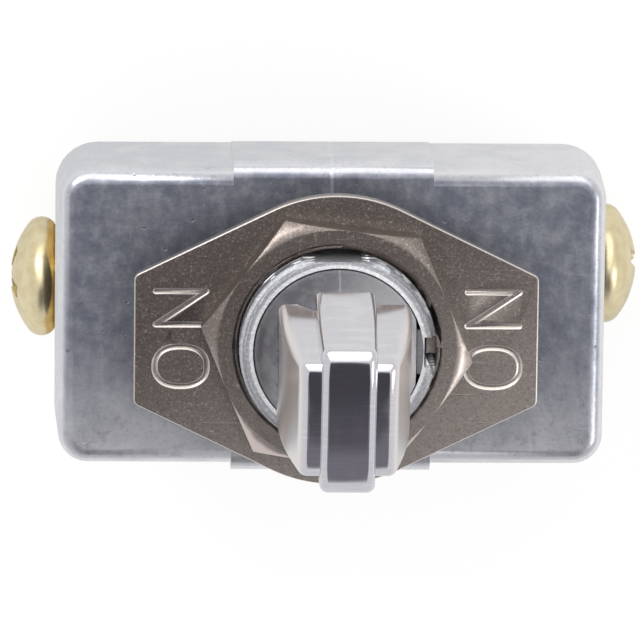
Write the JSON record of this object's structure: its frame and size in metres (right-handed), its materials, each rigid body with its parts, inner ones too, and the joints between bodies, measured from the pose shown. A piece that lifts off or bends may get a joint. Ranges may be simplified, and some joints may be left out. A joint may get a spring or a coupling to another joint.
{
  "type": "panel toggle switch",
  "caption": "Heavy-duty toggle switch: die-cast housing with threaded bushing, ribbed chrome lever, face plate, nuts and brass screw terminals.",
  "frame": {"origin": "on the bushing's axis at the plane of the housing's front face", "axes": "+Z along the bushing out of the panel, +X along the housing towards the keyway, the lever swings about X"},
  "size_m": [0.0392, 0.02, 0.0409],
  "materials": {
    "zinc": "bare die-cast zinc, mottled matte",
    "chrome": "bright chrome plate",
    "nickel": "dull nickel plate with a brown cast",
    "steel": "zinc-plated steel",
    "phenolic": "black phenolic moulding",
    "fibre": "vulcanised fibre",
    "copper": "bare copper strip",
    "silver": "silver contact",
    "brass": "bright brass"
  },
  "bodies": {
    "case": {"housing": "zinc", "face_nut": "nickel", "face_plate": "nickel", "lock_washer": "steel", "back_nut": "nickel", "base": "phenolic", "insulator": "fibre", "rocker_pin": "steel", "common_terminal": "brass", "left_terminal": "brass", "right_terminal": "brass", "left_contact": "silver", "right_contact": "silver", "left_screw": "brass", "right_screw": "brass", "common_screw": "brass", "left_case_screw": "steel", "right_case_screw": "steel"},
    "lever": {"lever": "chrome", "plunger_spring": "steel"},
    "plunger": {"plunger": "phenolic"},
    "rocker": {"rocker": "copper", "moving_contact_left": "silver", "moving_contact_right": "silver"}
  },
  "joints": [
    {"name": "lever_throw", "type": "hinge", "parent": "case", "child": "lever", "pos_m": [0, 0, 0.0086], "axis": [-1, 0, 0], "range_deg": [0, 25]},
    {"name": "plunger_slide", "type": "slide", "parent": "lever", "child": "plunger", "axis": [0, -0.2164, 0.9763], "range_m": [0, 0.0005], "stiffness_N_per_m": 40},
    {"name": "rocker_tilt", "type": "hinge", "parent": "case", "child": "rocker", "pos_m": [0, 0, -0.0116], "axis": [1, 0, 0], "range_deg": [0, 18]}
  ],
  "couplings": [
    {"joint": "rocker_tilt", "follows": "lever_throw", "ratio": 0.72}
  ]
}
